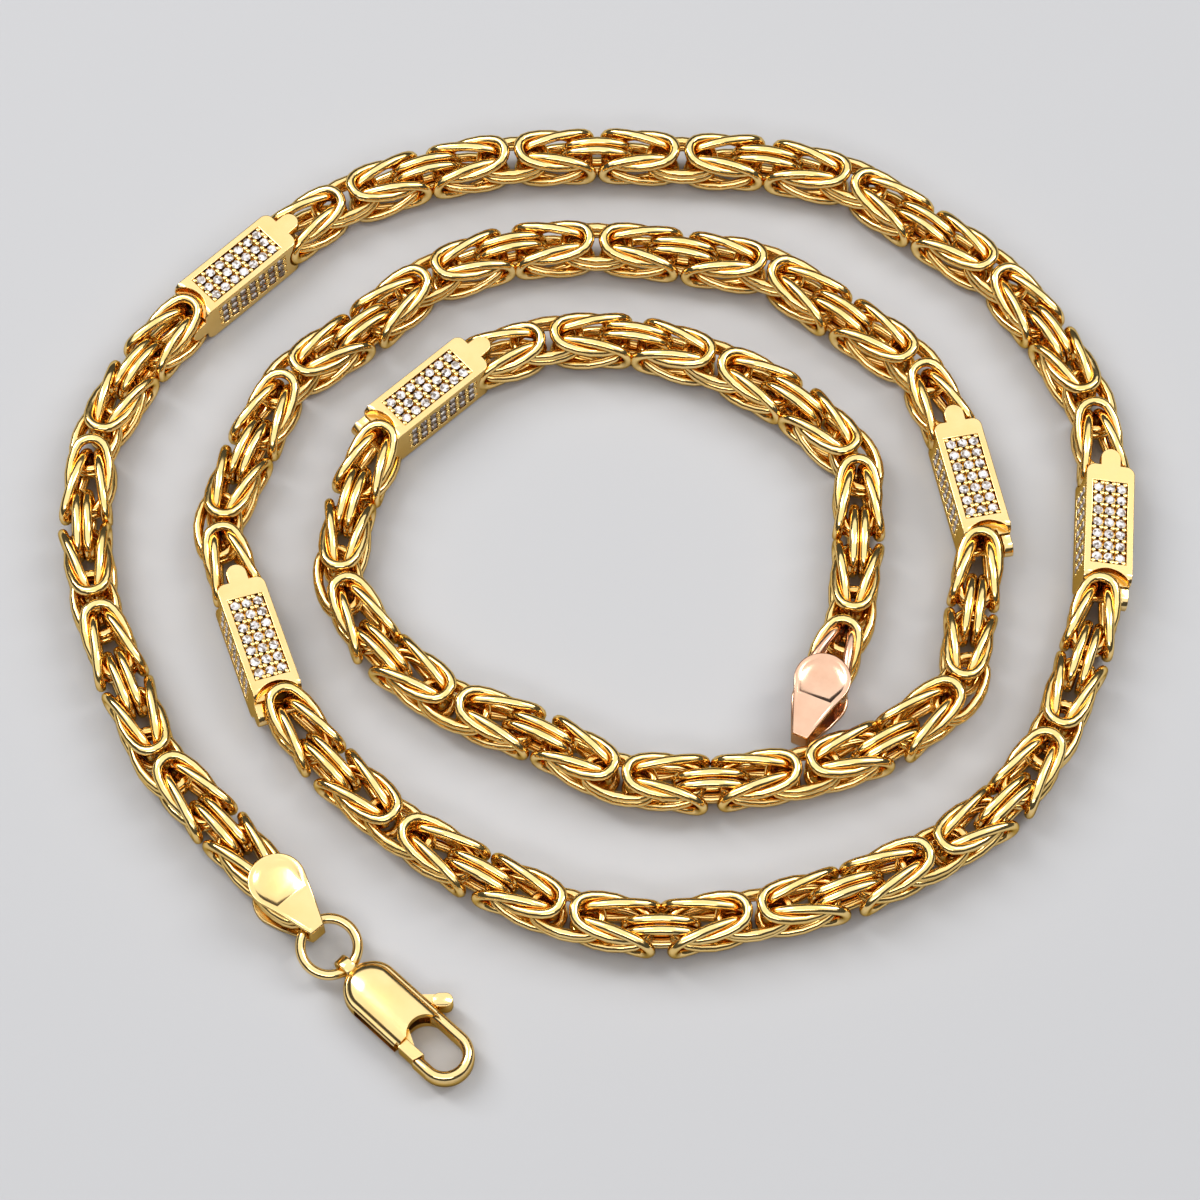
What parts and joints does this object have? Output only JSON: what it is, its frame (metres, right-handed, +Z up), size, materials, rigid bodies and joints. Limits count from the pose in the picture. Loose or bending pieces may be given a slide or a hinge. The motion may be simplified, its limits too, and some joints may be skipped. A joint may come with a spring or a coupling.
{
  "type": "byzantine chain necklace",
  "caption": "Polished yellow Byzantine chain necklace laid in a spiral, with square stone-set bars, folded end caps, a jump ring and a trigger clasp.",
  "frame": {"origin": "on the surface that the necklace lies on, under the middle of its bounding box", "axes": "+Z up from the surface; +X to the right and +Y away as the laid spiral is seen, with the clasp at the lower left"},
  "size_m": [0.0968, 0.0932, 0.005],
  "materials": {
    "gold": "polished yellow plating",
    "rose_gold": "polished rosy plating",
    "stone": "clear faceted"
  },
  "bodies": {
    "necklace": {"chain_1": "gold", "chain_2": "gold", "chain_3": "gold", "chain_4": "gold", "chain_5": "gold", "chain_6": "gold", "bar_1": "gold", "bar_2": "gold", "bar_3": "gold", "bar_4": "gold", "bar_5": "gold", "stones_1": "stone", "stones_2": "stone", "stones_3": "stone", "stones_4": "stone", "stones_5": "stone", "clasp_cap": "gold", "tail_cap": "rose_gold", "jump_ring": "gold", "clasp_body": "gold"},
    "lever": {"clasp_lever": "gold"}
  },
  "joints": [
    {"name": "clasp_lever_hinge", "type": "hinge", "parent": "necklace", "child": "lever", "pos_m": [-0.01781, -0.03909, 0.0015], "axis": [0, 0, 1], "range_deg": [0, 25], "stiffness_Nm_per_rad": 0.005, "springref_deg": -11.46}
  ]
}
